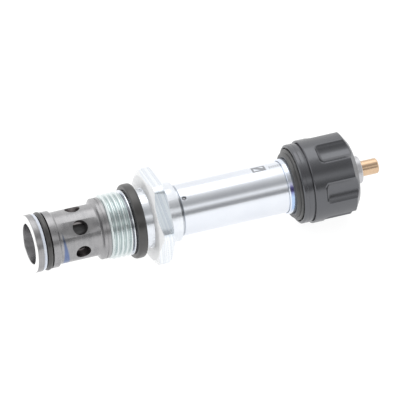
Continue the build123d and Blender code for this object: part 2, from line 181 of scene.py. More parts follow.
class Paint(Nodes):
    """One material: a Principled shader and the nodes that feed it."""

    def __init__(self, name, **constants):
        self.material = bpy.data.materials.new(name)
        super().__init__(self.material, "Principled BSDF")
        for socket, value in constants.items():
            self.shader.inputs[socket.replace("_", " ")].default_value = value
        self.spot = self.node("ShaderNodeTexCoord", output="Object")

    def axes(self):
        """Place along the axis and across it, in mm."""
        return [part * 1000.0 for part in self.split(self.spot)]

    def noise(self, size, stretch=(1, 1, 1), detail=3.0, roughness=0.55):
        """Noise with features about size mm across, stretched along each axis."""
        scale = [1 / (size * MM * s) for s in stretch]
        scaled = self.node("ShaderNodeMapping", inputs={"Vector": self.spot, "Scale": scale})
        settings = {"noise_dimensions": "3D"}
        inputs = {"Vector": scaled, "Scale": 1.0, "Detail": detail, "Roughness": roughness}
        return self.node("ShaderNodeTexNoise", settings, inputs)

    def mix(self, amount, first, second, blend="MIX"):
        """Blend two colours."""
        settings = {"data_type": "RGBA", "blend_type": blend, "clamp_factor": True}
        first = first if isinstance(first, Value) else (*first, 1.0)
        second = second if isinstance(second, Value) else (*second, 1.0)
        return self.node("ShaderNodeMix", settings, {0: amount, 6: first, 7: second}, output=2)

    def bump(self, height, distance):
        """Raise the surface by height, over a distance in mm."""
        inputs = {"Height": height, "Distance": distance * MM, "Strength": 1.0}
        self.feed("Normal", self.node("ShaderNodeBump", inputs=inputs))


# %% [markdown]
# ## Places on a turned part
# Some parts are plated, stamped, heated or rubbed in one place only. The place along the axis and the angle
# round it pick the spot, and a window from 0 to 1 with soft sides limits the effect to it.

# %% Places on a turned part
def round_angle(nodes, y, z):
    """Angle round the axis in degrees, from -Y and rising towards +Z."""
    return nodes.node("ShaderNodeMath", {"operation": "ARCTAN2"}, {0: z, 1: y * -1.0}) * math.degrees(1)


def window(value, low, high, soft):
    """1 between two limits and 0 outside them, with soft sides."""
    rise = ((value - low) / soft).clamped()
    fall = ((high - value) / soft).clamped()
    return rise * fall


# %% [markdown]
# ## Floor, light and camera
# Small plated parts look best in a white tent. The tube works as a mirror, so what surrounds the valve
# matters more than the lamp: a broad white ceiling, a narrow lit slit beside the lens, and a darker band low
# down give the long grey and white stripes. All of that is a graded sky, which changes with the angle round
# the valve's axis. One soft lamp overhead lifts the upper edges, and the floor is matt white card.

# %% Floor
FLOOR_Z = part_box("valve_body")[0].z
FLOOR_GAP = 0.0002


def white_card():
    """Matt white card on a light table, with a trace of tone."""
    paint = Paint("white_card", Roughness=0.9, Emission_Strength=0.93)
    tone = paint.noise(90.0, detail=2.0)
    paint.feed("Base Color", paint.ramp(tone, [(0.3, (0.18, 0.18, 0.18)), (0.7, (0.20, 0.20, 0.20))]))
    paint.feed("Emission Color", paint.ramp(tone, [(0.3, (0.98, 0.98, 0.98)), (0.7, (1.0, 1.0, 1.0))]))
    return paint.material


bpy.ops.object.select_all(action="DESELECT")
bpy.ops.mesh.primitive_plane_add(size=6.0, location=(0, 0, FLOOR_Z - FLOOR_GAP))
floor = bpy.context.object
floor.name = "floor"
floor.data.materials.append(white_card())
print("floor at", round(FLOOR_Z / MM, 2), "mm")

# %% Sky
# Greys by the angle round the axis in degrees, from the near side and rising towards the top
SKY_STOPS = [
    (-180, 1.0), (-60, 1.0), (-20, 0.30), (13, 0.26), (21, 0.50), (26, 1.05), (33, 1.05), (40, 0.50),
    (48, 0.37), (66, 0.55), (78, 0.78), (88, 1.05), (180, 1.05),
]
world = bpy.data.worlds.new("tent")
bpy.context.scene.world = world
sky = Nodes(world, "Background")
_, sky_y, sky_z = sky.split(sky.node("ShaderNodeTexCoord", output="Generated"))
share = round_angle(sky, sky_y, sky_z) / 360.0 + 0.5
sky.feed("Color", sky.ramp(share, [(degrees / 360 + 0.5, (grey,) * 3) for degrees, grey in SKY_STOPS]))

# %% Lamp
LAMP_PLACE = Vector((0.0, 0.25, 0.9))
LAMP_AIM = Vector((0.02, 0, 0))
LAMP_SIZE = (0.9, 0.7)
LAMP_WATTS = 1.5

bpy.ops.object.select_all(action="DESELECT")
bpy.ops.object.light_add(type="AREA", location=LAMP_PLACE)
lamp = bpy.context.object
lamp.name = "ceiling"
lamp.data.shape = "RECTANGLE"
lamp.data.size, lamp.data.size_y = LAMP_SIZE
lamp.data.energy = LAMP_WATTS
lamp.rotation_euler = (LAMP_AIM - LAMP_PLACE).to_track_quat("-Z", "Y").to_euler()

# %% Camera
TOWARDS_CAMERA = Vector((-0.25, -0.838, 0.484)).normalized()
AXIS_TILT = math.radians(12.77)
CAMERA_DISTANCE = 7.512
AIM_X = 0.0240
AIM_LIFT = 0.00215

axis_seen = Vector((1, 0, 0)) - TOWARDS_CAMERA.x * TOWARDS_CAMERA
axis_seen.normalize()
across_seen = TOWARDS_CAMERA.cross(axis_seen)
right = math.cos(AXIS_TILT) * axis_seen - math.sin(AXIS_TILT) * across_seen
up = TOWARDS_CAMERA.cross(right)
turn = Matrix((right, up, TOWARDS_CAMERA)).transposed()
aim = Vector((AIM_X, 0, 0)) + AIM_LIFT * across_seen

bpy.ops.object.select_all(action="DESELECT")
bpy.ops.object.camera_add()
camera = bpy.context.object
camera.name = "camera"
camera.matrix_world = Matrix.Translation(aim + CAMERA_DISTANCE * TOWARDS_CAMERA) @ turn.to_4x4()
camera.data.sensor_width = 36.0
camera.data.lens = 1660.0
camera.data.clip_end = 20.0
bpy.context.scene.camera = camera
bpy.context.scene.view_settings.view_transform = "Standard"

# %% [markdown]
# ## A lathe
# Nearly every part of the valve was turned, so one helper stands in for a lathe. It starts from a plane
# primitive merged to a point, extrudes that point round the section like a tool path, closes the loop and
# spins it about the axis. Doubles are merged and the normals made to face outwards.

# %% Lathe helper
TURN_STEPS = 144
EDGE_ANGLE = math.radians(28)


def lathe(name, outline, steps=TURN_STEPS):
    """Turn a section, given as (x, radius) points in mm, into a piece on the axis."""
    bpy.ops.object.select_all(action="DESELECT")
    bpy.ops.mesh.primitive_plane_add(size=MM)
    piece = bpy.context.object
    piece.name = piece.data.name = name
    bpy.ops.object.mode_set(mode="EDIT")
    bpy.ops.mesh.merge(type="CENTER")
    x, r = outline[0]
    bpy.ops.transform.translate(value=(x * MM, 0, r * MM))
    for x_next, r_next in outline[1:]:
        step = ((x_next - x) * MM, 0, (r_next - r) * MM)
        bpy.ops.mesh.extrude_region_move(TRANSFORM_OT_translate={"value": step})
        x, r = x_next, r_next
    select_ends(piece)
    bpy.ops.mesh.edge_face_add()
    bpy.ops.mesh.select_all(action="SELECT")
    bpy.ops.mesh.spin(steps=steps, angle=math.tau, center=(0, 0, 0), axis=(1, 0, 0))
    bpy.ops.mesh.select_all(action="SELECT")
    bpy.ops.mesh.remove_doubles(threshold=1e-6)
    bpy.ops.mesh.normals_make_consistent(inside=False)
    bpy.ops.object.mode_set(mode="OBJECT")
    return piece


def select_ends(piece):
    """Select the first and the last point of an open section."""
    points = bmesh.from_edit_mesh(piece.data)
    points.verts.ensure_lookup_table()
    for point in points.verts:
        point.select = False
    for index in (0, len(points.verts) - 1):
        points.verts[index].select = True
    points.select_flush(True)
    bmesh.update_edit_mesh(piece.data)


# %% [markdown]
# ## Edges, cuts and joins
# No machined edge is perfectly sharp, and the thin bright line along it is what makes metal look real. A
# Bevel modifier limited by angle breaks the edges, and booleans do the milling and drilling. Each modifier
# is applied at once, so that the finished piece is plain mesh.

# %% Modifier helpers
def apply(piece, kind, **settings):
    """Add a modifier to a piece and apply it."""
    bpy.ops.object.select_all(action="DESELECT")
    piece.select_set(True)
    bpy.context.view_layer.objects.active = piece
    modifier = piece.modifiers.new(kind.lower(), kind)
    for setting, value in settings.items():
        setattr(modifier, setting, value)
    bpy.ops.object.modifier_apply(modifier=modifier.name)


def break_edges(piece, width):
    """Round every sharp edge over a width in mm, and shade the rest smooth."""
    apply(
        piece, "BEVEL", width=width * MM, segments=2, limit_method="ANGLE",
        angle_limit=EDGE_ANGLE, use_clamp_overlap=True, miter_outer="MITER_ARC",
    )
    smooth(piece)


def smooth(piece, angle=EDGE_ANGLE):
    """Smooth shading, except across edges sharper than the angle."""
    bpy.ops.object.select_all(action="DESELECT")
    piece.select_set(True)
    bpy.context.view_layer.objects.active = piece
    bpy.ops.object.shade_smooth_by_angle(angle=angle)


def combine(piece, tool, operation):
    """Cut, join or intersect a piece with a tool, which is then thrown away."""
    apply(piece, "BOOLEAN", object=tool, operation=operation, solver="EXACT")
    bpy.data.objects.remove(tool)


def place(piece, body, slot, finish, *nodes):
    """Give a piece its finish and its place in the frame."""
    piece.data.materials.clear()
    piece.data.materials.append(finish)
    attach(piece, body)
    if nodes:
        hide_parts(*nodes)
    print(piece.name, len(piece.data.polygons), "faces")


# %% [markdown]
# ## Metal finishes
# Turned metal carries fine rings round the axis, which depend only on the place along it. Noise stretched
# hugely across the axis gives them. Larger soft noise changes roughness where the plate is a little duller.

# %% Turned metal
def ring_lines(paint, line):
    """Fine rings round the axis, about line mm apart, from 0 to 1."""
    return paint.noise(line, (1, 400, 400), detail=2.0)


def turned_metal(name, dark, light, rough, line, line_depth):
    """Metal with rings of tool marks: two tones, roughness, and the lines' size and depth in mm."""
    paint = Paint(name, Metallic=1.0)
    rings = ring_lines(paint, line)
    clouds = paint.noise(6.0, detail=4.0)
    paint.feed("Base Color", paint.ramp(rings * 0.5 + clouds * 0.5, [(0.3, dark), (0.7, light)]))
    paint.feed("Roughness", (clouds - 0.5) * 0.08 + (rings - 0.5) * 0.08 + rough)
    paint.bump(rings, line_depth)
    return paint.material


# The spool's steel is painted nearly black: painted shade standing in for the shade behind the cage's ports.
ground_steel = turned_metal("ground_steel", (0.06, 0.06, 0.062), (0.11, 0.11, 0.112), 0.30, 0.2, 0.002)
bright_rod = turned_metal("bright_rod", (0.42, 0.42, 0.43), (0.60, 0.60, 0.61), 0.22, 0.2, 0.002)
soft_iron = turned_metal("soft_iron", (0.44, 0.44, 0.45), (0.58, 0.58, 0.59), 0.35, 0.4, 0.004)
spring_wire = turned_metal("spring_wire", (0.30, 0.30, 0.31), (0.42, 0.42, 0.43), 0.35, 0.8, 0.002)
bronze = turned_metal("bronze", (0.45, 0.27, 0.12), (0.62, 0.42, 0.22), 0.32, 0.3, 0.004)
disc_steel = turned_metal("disc_steel", (0.52, 0.52, 0.54), (0.64, 0.64, 0.66), 0.42, 0.3, 0.003)
pin_brass = turned_metal("pin_brass", (0.62, 0.42, 0.27), (0.75, 0.57, 0.40), 0.26, 0.3, 0.003)

# %% [markdown]
# ## The cage
# The nose of the valve is a steel cage, turned all over and drilled with six side ports. It is turned here
# as one section, drilled with six round tools in a single boolean, and its edges are then broken. Heat has
# left a blue mark on its near side, and its nose face was turned last and stayed bright.

# %% Cage sizes
CAGE_X = span("cage")
BODY_X = span("valve_body")
NOSE_RADIUS = 11.95
NOSE_REAR = radius("nose_backup_ring")
NOSE_CHAMFER = 0.4
GROOVE_X = (span("nose_backup_ring")[0] - 0.05, span("nose_o_ring")[1] + 0.20)
GROOVE_FLOOR = 9.55
WAIST_RADIUS = 10.75
LAND_START = -22.5
LAND_RADIUS = radius("cage")
LAND_GROOVE_X = (-20.3, -20.0)
LAND_GROOVE_DEPTH = 0.25
CAGE_NECK = 9.5
BORE_RADIUS = 7.0
WEB_X = (-44.0, -42.0)
WEB_HOLE = 4.0
MOUTH_RADIUS = 8.35
PORT_X = -30.2
PORT_RADIUS = 3.15
PORT_ANGLES = [math.radians(41 + 60 * k) for k in range(6)]
print("cage", round(CAGE_X[1] - CAGE_X[0], 2), "mm long, land radius", round(LAND_RADIUS, 2))

# %% Cage steel
HEAT_X = -38.7
HEAT_TIP = 0.7
HEAT_SPREAD = 2.4
HEAT_ANGLES = (-80.0, 42.0)
PORT_WALLS_X = (-34.5, -26.0)


def cage_steel():
    """Dull phosphated steel, bright on its nose face, with a blue heat mark on the near side."""
    paint = Paint("cage_steel", Metallic=1.0)
    x, y, z = paint.axes()
    rings = ring_lines(paint, 0.5)
    clouds = paint.noise(4.0, detail=5.0)
    grain = paint.noise(0.35, detail=3.0)
    tone = rings * 0.35 + clouds * 0.45 + grain * 0.2
    steel = paint.ramp(tone, [(0.3, (0.26, 0.26, 0.27)), (0.7, (0.46, 0.455, 0.46))])
    angle = round_angle(paint, y, z)
    widening = ((40.0 - angle) / 76.0).clamped() * HEAT_SPREAD
    mark = window(x, HEAT_X, widening + (HEAT_X + HEAT_TIP), 0.6) * window(angle, *HEAT_ANGLES, 12.0)
    blue = paint.mix(((angle + 10.0) / 40.0).clamped(), (0.12, 0.18, 0.37), (0.06, 0.09, 0.15))
    steel = paint.mix(mark * 0.85, steel, blue)
    face = ((CAGE_X[0] + 0.30 - x) / 0.1).clamped()
    reach = (y * y + z * z) ** 0.5
    walls = window(x, *PORT_WALLS_X, 0.1) * ((WAIST_RADIUS - 0.11 - reach) / 0.05).clamped()
    steel = paint.mix(walls, steel, (0.34, 0.32, 0.32))
    paint.feed("Base Color", paint.mix(face, steel, (0.97, 0.97, 0.97)))
    paint.feed("Roughness", (clouds - 0.5) * 0.15 + (grain - 0.5) * 0.1 + 0.29)
    paint.bump(tone, 0.012)
    return paint.material


# %% Cage section
cage = lathe(
    "ported_cage",
    [
        (CAGE_X[0], MOUTH_RADIUS + NOSE_CHAMFER),
        (CAGE_X[0], NOSE_RADIUS - NOSE_CHAMFER),
        (CAGE_X[0] + NOSE_CHAMFER, NOSE_RADIUS),
        (GROOVE_X[0], NOSE_RADIUS),
        (GROOVE_X[0], GROOVE_FLOOR),
        (GROOVE_X[1], GROOVE_FLOOR),
        (GROOVE_X[1], NOSE_REAR),
        (GROOVE_X[1] + 2.8, NOSE_REAR),
        (GROOVE_X[1] + 3.7, WAIST_RADIUS),
        (LAND_START, WAIST_RADIUS),
        (LAND_START + 0.3, WAIST_RADIUS + 0.15),
        (LAND_START + 0.6, WAIST_RADIUS + 0.55),
        (LAND_START + 0.9, LAND_RADIUS - 0.45),
        (LAND_START + 1.1, LAND_RADIUS),
        (LAND_GROOVE_X[0], LAND_RADIUS),
        (LAND_GROOVE_X[0], LAND_RADIUS - LAND_GROOVE_DEPTH),
        (LAND_GROOVE_X[1], LAND_RADIUS - LAND_GROOVE_DEPTH),
        (LAND_GROOVE_X[1], LAND_RADIUS),
        (BODY_X[0], LAND_RADIUS),
        (BODY_X[0], CAGE_NECK),
        (CAGE_X[1], CAGE_NECK),
        (CAGE_X[1], BORE_RADIUS),
        (WEB_X[1], BORE_RADIUS),
        (WEB_X[1], WEB_HOLE),
        (WEB_X[0], WEB_HOLE),
        (WEB_X[0], MOUTH_RADIUS),
        (CAGE_X[0] + NOSE_CHAMFER, MOUTH_RADIUS),
    ],
)

# %% Side ports
def rod(name, hole, x, angle, inner, outer, vertices=48):
    """A round tool across the axis, between two radii."""
    reach = (inner + outer) / 2 * MM
    bpy.ops.mesh.primitive_cylinder_add(
        vertices=vertices, radius=hole * MM, depth=(outer - inner) * MM,
        location=(x * MM, -reach * math.cos(angle), reach * math.sin(angle)),
        rotation=(math.pi / 2 - angle, 0, 0),
    )
    tool = bpy.context.object
    tool.name = name
    return tool


def join(tools):
    """Join tools into one object at the origin."""
    bpy.ops.object.select_all(action="DESELECT")
    for tool in tools:
        tool.select_set(True)
    bpy.context.view_layer.objects.active = tools[0]
    if len(tools) > 1:
        bpy.ops.object.join()
    bpy.ops.object.transform_apply(location=True, rotation=True, scale=True)
    return bpy.context.object


drills = join([rod("drill", PORT_RADIUS, PORT_X, angle, 6.6, 12.0) for angle in PORT_ANGLES])
combine(cage, drills, "DIFFERENCE")
break_edges(cage, 0.12)
place(cage, "cartridge", "cage_steel", cage_steel(), "cage")

# %% [markdown]
# ## Seals
# An O-ring is moulded in two halves, so a faint parting line runs round it. The section is a circle worked
# out by a formula with that line raised a few hundredths of a millimetre, and the lathe turns it. The big
# seal under the hexagon is squeezed to a rounder square, and the nose seal leans on a hard white ring.

# %% Rubber
def rubber(name, tone, rough):
    """Moulded rubber: nearly black, with a faint bloom and a soft pebble."""
    paint = Paint(name, IOR=1.9)
    pebble = paint.noise(0.35, detail=3.0)
    bloom = paint.noise(4.0, detail=4.0)
    light = tuple(3.0 * c for c in tone)
    paint.feed("Base Color", paint.ramp(bloom, [(0.35, tone), (0.75, light)]))
    paint.feed("Roughness", (bloom - 0.5) * 0.25 + rough)
    paint.bump(pebble, 0.015)
    return paint.material


seal_rubber = rubber("seal_rubber", (0.006, 0.005, 0.0045), 0.34)

# %% O-ring
PARTING_LINE = 0.03
RING_POINTS = 32
SOFT_EDGE_ANGLE = math.radians(50)


def o_ring(name, node, finish):
    """An O-ring of the size of its CAD node, with its parting line."""
    start, end = span(node)
    section = (end - start) / 2
    centre = (start + end) / 2
    middle = radius(node) - section
    outline = []
    for k in range(RING_POINTS):
        angle = math.tau * k / RING_POINTS
        x = centre + section * math.cos(angle)
        outline.append((x, middle + (section - PARTING_LINE) * math.sin(angle)))
        if k % (RING_POINTS // 2) == RING_POINTS // 4:
            outline[-1] = (centre, middle + section * math.sin(angle))
    ring = lathe(name, outline)
    smooth(ring, SOFT_EDGE_ANGLE)
    place(ring, "cartridge", "seal_rubber", finish, node)


o_ring("nose_seal", "nose_o_ring", seal_rubber)

# %% Hexagon seal
SEAL_POINTS = 40
SEAL_INNER = 12.27
SQUARENESS = 0.55
seal_start, seal_end = span("body_o_ring")
seal_outer = radius("body_o_ring")


def squared(turn):
    """A cosine flattened towards the corners of a square."""
    return math.copysign(abs(math.cos(turn)) ** SQUARENESS, math.cos(turn))


def seal_point(turn):
    """A point of the seal's section, at an angle round it."""
    x = (seal_start + seal_end) / 2 + (seal_end - seal_start) / 2 * squared(turn)
    r = (SEAL_INNER + seal_outer) / 2 + (seal_outer - SEAL_INNER) / 2 * squared(turn - math.pi / 2)
    return x, r


hexagon_seal = lathe("hexagon_seal", [seal_point(math.tau * k / SEAL_POINTS) for k in range(SEAL_POINTS)])
smooth(hexagon_seal, SOFT_EDGE_ANGLE)
place(hexagon_seal, "cartridge", "seal_rubber", seal_rubber, "body_o_ring")

# %% Backup ring
def backup_polymer():
    """Bluish white slippery polymer."""
    paint = Paint("backup_polymer", Roughness=0.4)
    tone = paint.noise(1.5, detail=3.0)
    paint.feed("Base Color", paint.ramp(tone, [(0.3, (0.72, 0.78, 0.90)), (0.7, (0.86, 0.90, 0.97))]))
    paint.bump(tone, 0.01)
    return paint.material


CUP_RADIUS = 10.7
ring_start, ring_end = span("nose_backup_ring")
ring_floor = GROOVE_FLOOR + 0.02
backup = lathe(
    "backup_ring",
    [
        (ring_start, ring_floor), (ring_start, NOSE_REAR), (ring_end - 0.15, NOSE_REAR),
        (ring_end, NOSE_REAR - 0.3), (ring_end - 0.25, CUP_RADIUS), (ring_end, GROOVE_FLOOR + 0.3),
        (ring_end - 0.1, ring_floor),
    ],
)
break_edges(backup, 0.1)
place(backup, "cartridge", "white_polymer", backup_polymer(), "nose_backup_ring")

# %% [markdown]
# ## The threaded body
# Body, thread, seal neck, hexagon and collar are one bar of steel. The section is turned first with closely
# spaced rings where the thread goes. The thread itself is cut by moving each point of those rings to the
# depth that a 2 mm pitch gives it at its angle, which keeps the mesh in tidy rings.

# %% Body section
THREAD_RADIUS = 13.5
THREAD_DEPTH = 1.2
PITCH = 2.0
THREAD_END = -9.9
RELIEF_END = -9.0
SHOULDER_END = -8.4
NECK_RADIUS = 12.25
NECK_END = 3.0
COLLAR_RADIUS = 12.3
ROOT_RADIUS = 10.2
TUBE_SEAT_X = 7.0
CORE_SEAT_X = 2.0
CORE_RADIUS = 8.5
SPOOL_BORE = 7.5
ROWS_PER_PITCH = 16


def chamfered_start(x):
    """Radius allowed by the chamfer at the thread's start."""
    return min(THREAD_RADIUS, THREAD_RADIUS - THREAD_DEPTH + 1.2 * (x - BODY_X[0]))


thread_rows = int((THREAD_END - BODY_X[0]) / PITCH * ROWS_PER_PITCH)
thread_x = [BODY_X[0] + (THREAD_END - BODY_X[0]) * k / thread_rows for k in range(thread_rows + 1)]
body = lathe(
    "threaded_body",
    [(BODY_X[0], CAGE_NECK)]
    + [(x, chamfered_start(x)) for x in thread_x]
    + [
        (THREAD_END, NECK_RADIUS),
        (RELIEF_END, NECK_RADIUS),
        (RELIEF_END, THREAD_RADIUS),
        (SHOULDER_END, THREAD_RADIUS),
        (SHOULDER_END, NECK_RADIUS),
        (NECK_END, NECK_RADIUS),
        (NECK_END, COLLAR_RADIUS),
        (BODY_X[1], COLLAR_RADIUS),
        (BODY_X[1], ROOT_RADIUS),
        (TUBE_SEAT_X, ROOT_RADIUS),
        (TUBE_SEAT_X, CORE_RADIUS),
        (CORE_SEAT_X, CORE_RADIUS),
        (CORE_SEAT_X, SPOOL_BORE),
        (CAGE_X[1], SPOOL_BORE),
        (CAGE_X[1], CAGE_NECK),
    ],
)

# %% Cut the thread
def thread_radius(x, angle):
    """Radius of a right-hand thread at a place along the axis and an angle round it."""
    phase = (x / PITCH + angle / math.tau) % 1.0
    ridge = 1 - abs(2 * phase - 1)
    height = min(1.0, max(0.0, (ridge - 0.18) / 0.66))
    height = height * height * (3 - 2 * height) * 0.35 + height * 0.65
    return THREAD_RADIUS - THREAD_DEPTH * (1 - height)


for point in body.data.vertices:
    x = point.co.x / MM
    r = math.hypot(point.co.y, point.co.z) / MM
    if BODY_X[0] - 0.01 < x < THREAD_END + 0.01 and r > NECK_RADIUS + 0.1:
        angle = math.atan2(point.co.z, point.co.y)
        factor = min(1.0, thread_radius(x, angle) / r)
        point.co.y *= factor
        point.co.z *= factor
print("thread", round((THREAD_END - BODY_X[0]) / PITCH, 1), "turns")

# %% [markdown]
# ## The hexagon
# A six-sided prism is intersected with a turned blank whose faces are chamfered at 30 degrees, which leaves
# the curved corner of every real hexagon. It is then joined to the body. The zinc plate is greenish in the
# thread, with painted shade in the thread's valleys and in the relief behind it. The hexagon's front face is
# painted white as a painted highlight, the cutter has left leaning lines on the flats, and the flat nearest
# the camera is darkened with painted shade.

# %% Hexagon
FLATS = 36.0
HEX_LENGTH = 6.2
HEX_CORNER = -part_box("valve_body")[0].y / MM
HEX_FRONT = 17.6
HEX_REAR = 19.0
HEX_HOLE = 11.0
SLOPE = math.tan(math.radians(30))

hexagon = lathe(
    "hexagon",
    [
        (0.0, HEX_HOLE), (0.0, HEX_FRONT), ((HEX_CORNER - HEX_FRONT) * SLOPE, HEX_CORNER),
        (HEX_LENGTH - (HEX_CORNER - HEX_REAR) * SLOPE, HEX_CORNER), (HEX_LENGTH, HEX_REAR),
        (HEX_LENGTH, HEX_HOLE),
    ],
)
bpy.ops.object.select_all(action="DESELECT")
bpy.ops.mesh.primitive_cylinder_add(
    vertices=6, radius=FLATS / 2 / math.cos(math.pi / 6) * MM, depth=0.02,
    location=(HEX_LENGTH / 2 * MM, 0, 0), rotation=(0, math.pi / 2, 0),
)
prism = join([bpy.context.object])
combine(hexagon, prism, "INTERSECT")
combine(body, hexagon, "UNION")

# %% Zinc plate on the body
CUTTER_LEAN = 0.16
NEAR_FLAT_ANGLES = (0.0, 60.0)


def zinc_body():
    """Zinc plate, greenish in the thread, with cutter lines on the flats, painted shade and a painted
    highlight.
    """
    paint = Paint("zinc_body")
    x, y, z = paint.axes()
    reach = (y * y + z * z) ** 0.5
    rings = ring_lines(paint, 0.45)
    clouds = paint.noise(5.0, detail=4.0)
    plate = paint.ramp(rings * 0.4 + clouds * 0.6, [(0.3, (0.76, 0.79, 0.84)), (0.7, (0.87, 0.90, 0.94))])
    thread = ((THREAD_END - x) / 0.2).clamped()
    plate = paint.mix(thread, plate, (0.97, 1.0, 0.955), "MULTIPLY")
    # Painted shade darkens the thread's valleys.
    valley_shade = ((THREAD_RADIUS - 0.1 - reach) / 0.9).clamped() * thread
    plate = paint.mix(valley_shade * 0.45, plate, (0.55, 0.60, 0.59), "MULTIPLY")
    # Painted shade: the relief groove behind the thread is painted near-black.
    relief_shade = window(x, THREAD_END, RELIEF_END, 0.05) * ((NECK_RADIUS + 0.65 - reach) / 0.2).clamped()
    plate = paint.mix(relief_shade * 0.8, plate, (0.06, 0.07, 0.08))
    # Painted highlight: the hexagon's front face and chamfer are painted near-white and not metallic,
    # standing in for the bright light on them.
    chamfer = (reach - HEX_FRONT) * SLOPE
    face = ((chamfer.maths("MAXIMUM", chamfer, 0.0) + 0.10 - x) / 0.05).clamped()
    front = face * window(x, -0.5, 1.6, 0.1) * (reach > NECK_RADIUS + 0.25)
    leaning = paint.node("ShaderNodeCombineXYZ", inputs={0: x + z * CUTTER_LEAN, 1: reach * 0.01, 2: 0.0})
    cuts = paint.node("ShaderNodeTexNoise", inputs={"Vector": leaning, "Scale": 2.6, "Detail": 3.0})
    milled = window(x, 0.15, HEX_LENGTH - 0.15, 0.1) * ((reach - FLATS / 2 + 0.1) / 0.1).clamped()
    flats = milled * (1.0 - front)
    shiny = paint.ramp(cuts, [(0.35, (0.74, 0.78, 0.84)), (0.65, (0.98, 1.0, 1.0))])
    # Painted shade: the flat facing the camera is darkened.
    near_flat_shade = window(round_angle(paint, y, z), *NEAR_FLAT_ANGLES, 3.0)
    shiny = paint.mix(near_flat_shade, shiny, (0.86, 0.90, 0.93), "MULTIPLY")
    plate = paint.mix(flats, plate, shiny)
    paint.feed("Base Color", paint.mix(front, plate, (0.96, 0.97, 0.98)))
    paint.feed("Metallic", 1.0 - front)
    paint.feed("Roughness", flats * 0.03 + thread * 0.04 + (clouds - 0.5) * 0.08 + 0.24)
    paint.bump(rings * (1.0 - flats) * 0.3 + cuts * flats, 0.02)
    return paint.material


break_edges(body, 0.10)
place(body, "cartridge", "plated_steel", zinc_body(), "valve_body")

# %% [markdown]
# ## The armature tube
# The tube is the valve's mirror. It is a plain sleeve with a stepped root, so its looks come from a good
# section, broken edges and the plate's finish, with painted shade in the crevice at its root. A ball is
# staked into its root, with painted shade round its dimple, and a laser has marked its upper side with a
# plain valve symbol and a row of dashes.

# %% Tube sizes
TUBE_X = span("armature_tube")
TUBE_RADIUS = radius("armature_tube")
TUBE_BORE = 9.2
TUBE_CORNER = 0.3
SHOULDER_X = 13.4
BALL_X = sum(span("stake_ball")) / 2
BALL_DEGREES = 53.0
BALL_ANGLE = math.radians(BALL_DEGREES)
# An extra ring keeps the cut for the ball out of the tube's long face
EXTRA_RING_X = 16.4
print("tube", [round(x, 2) for x in TUBE_X], "ball at", round(BALL_X, 2))

# %% Laser mark
MARK_X = (46.4, 52.3)
MARK_ANGLE = (79.0, 101.0)
DASHES_X = (53.4, 59.0)


def mark_lines(x, angle):
    """A valve symbol as a laser engraves it: a box with a slanting bar and a short row of dashes."""
    across = (x - MARK_X[0]) / (MARK_X[1] - MARK_X[0])
    down = (MARK_ANGLE[1] - angle) / (MARK_ANGLE[1] - MARK_ANGLE[0])
    inside = window(across, 0.0, 1.0, 0.02) * window(down, 0.0, 1.0, 0.03)
    hollow = window(across, 0.14, 0.86, 0.02) * window(down, 0.20, 0.80, 0.03)
    bar = window(across - down, -0.22, 0.30, 0.06) * hollow
    dash = ((x * 1.1) % 1.0 < 0.6) * window(x, *DASHES_X, 0.1)
    dashes = dash * window(down, 0.45, 0.90, 0.05) * 0.7
    return inside - hollow + bar + dashes


# %% Zinc plate on the tube
def zinc_tube():
    """Bright zinc plate with a fine turned grain, a laser mark and painted shade at its root and round the
    ball.
    """
    paint = Paint("zinc_tube", Metallic=1.0)
    x, y, z = paint.axes()
    angle = round_angle(paint, y, z)
    rings = ring_lines(paint, 0.3)
    clouds = paint.noise(7.0, (2, 1, 1), detail=4.0)
    plate = paint.ramp(rings * 0.4 + clouds * 0.6, [(0.3, (0.77, 0.80, 0.86)), (0.7, (0.85, 0.88, 0.93))])
    # Painted shade in the crevice where the tube meets the collar, darkest on the upper near side.
    root_shade = ((SHOULDER_X + 0.5 - x) / 0.4).clamped() * (window(angle, 0.0, 72.0, 20.0) * 0.45 + 0.3)
    plate = paint.mix(root_shade, plate, (0.10, 0.11, 0.12))
    # Painted shade round the staked ball's dimple.
    along, round_tube = x - BALL_X, (angle - BALL_DEGREES) * (TUBE_RADIUS * math.radians(1))
    dimple_shade = (1.0 - (along * along + round_tube * round_tube) ** 0.5 / 1.3).clamped()
    plate = paint.mix(dimple_shade * 0.8, plate, (0.15, 0.15, 0.16))
    mark = mark_lines(x, angle)
    paint.feed("Base Color", paint.mix(mark * 0.75, plate, (0.20, 0.20, 0.21)))
    paint.feed("Roughness", (clouds - 0.5) * 0.10 + (rings - 0.5) * 0.06 + mark * 0.3 + 0.21)
    paint.bump(rings, 0.0015)
    return paint.material


# %% Tube
tube = lathe(
    "plated_tube",
    [
        (TUBE_X[0], TUBE_BORE),
        (TUBE_X[0], ROOT_RADIUS),
        (SHOULDER_X, ROOT_RADIUS),
        (SHOULDER_X, TUBE_RADIUS - TUBE_CORNER),
        (SHOULDER_X + TUBE_CORNER, TUBE_RADIUS),
        (EXTRA_RING_X, TUBE_RADIUS),
        (TUBE_X[1] - TUBE_CORNER, TUBE_RADIUS),
        (TUBE_X[1], TUBE_RADIUS - TUBE_CORNER),
        (TUBE_X[1], TUBE_BORE),
    ],
)
punch = join([rod("punch", 0.9, BALL_X, BALL_ANGLE, 9.6, 12.0, 32)])
combine(tube, punch, "DIFFERENCE")
break_edges(tube, 0.08)
place(tube, "cartridge", "plated_steel", zinc_tube(), "armature_tube")

# %% [markdown]
# ## The coil nut
# The grip is moulded, so its edges flow. Its shell is turned with closely spaced rings, and each point is
# then drawn in to the scooped flutes by a formula whose smooth minimum rounds the ribs' edges.

